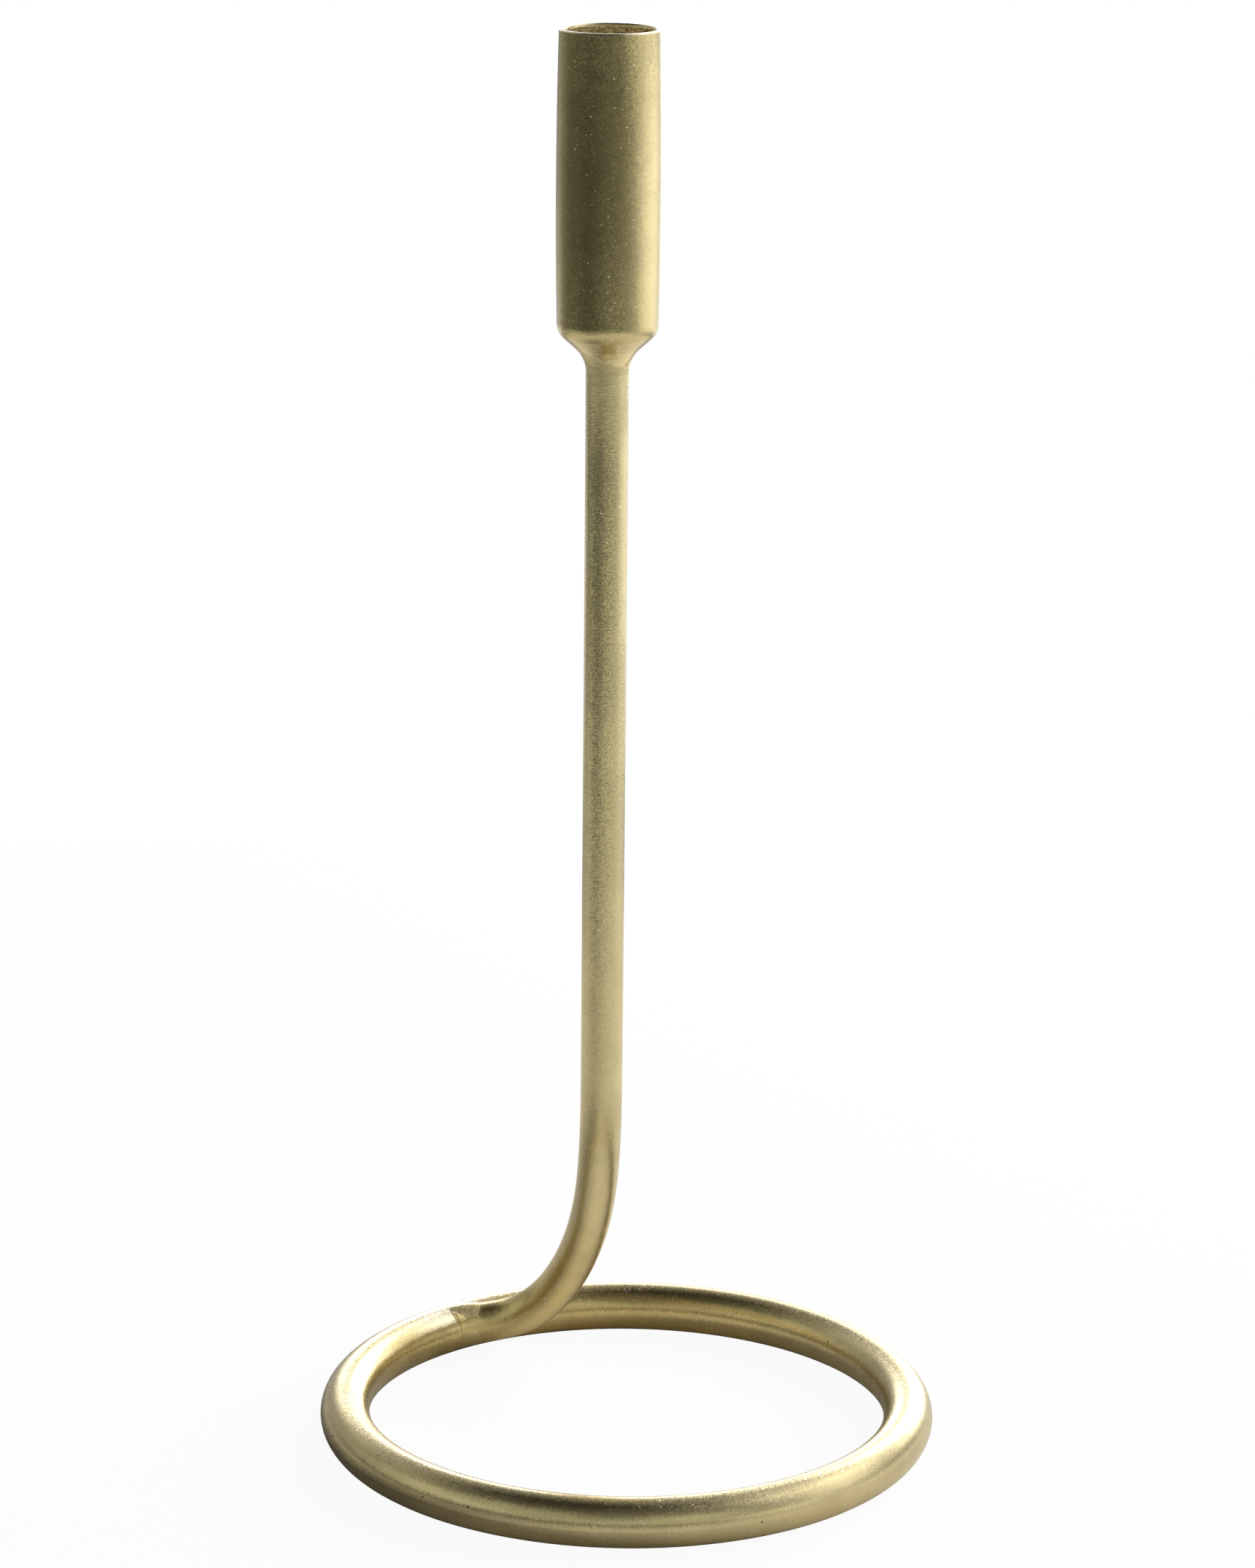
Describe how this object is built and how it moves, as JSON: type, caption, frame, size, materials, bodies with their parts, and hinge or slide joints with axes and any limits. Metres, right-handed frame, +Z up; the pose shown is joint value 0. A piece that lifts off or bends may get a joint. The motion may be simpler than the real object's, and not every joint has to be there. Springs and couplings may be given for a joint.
{
  "type": "candle holder",
  "caption": "Tall taper-candle holder: a round bar hoop lies flat, a thinner bar curls off it into an upright that carries a deep candle cup.",
  "frame": {"origin": "middle of the hoop, on the table it lies on", "axes": "+Z up, along the upright; -Y towards the viewer of the picture; +X to the right in the picture"},
  "size_m": [0.153, 0.153, 0.349],
  "materials": {
    "hoop_brass": "satin, fine blasted grain under clear lacquer",
    "stem_brass": "satin, fine blasted grain under clear lacquer",
    "cup_brass": "satin, fine blasted grain, rougher inside",
    "weld_brass": "ground flush and dressed smooth",
    "braze_brass": "dressed by hand round the stem"
  },
  "bodies": {
    "root": {"base_ring": "hoop_brass", "ring_seam_weld": "weld_brass", "stem": "stem_brass", "stem_foot_weld": "weld_brass", "candle_cup": "cup_brass", "neck_braze": "braze_brass"}
  },
  "joints": []
}
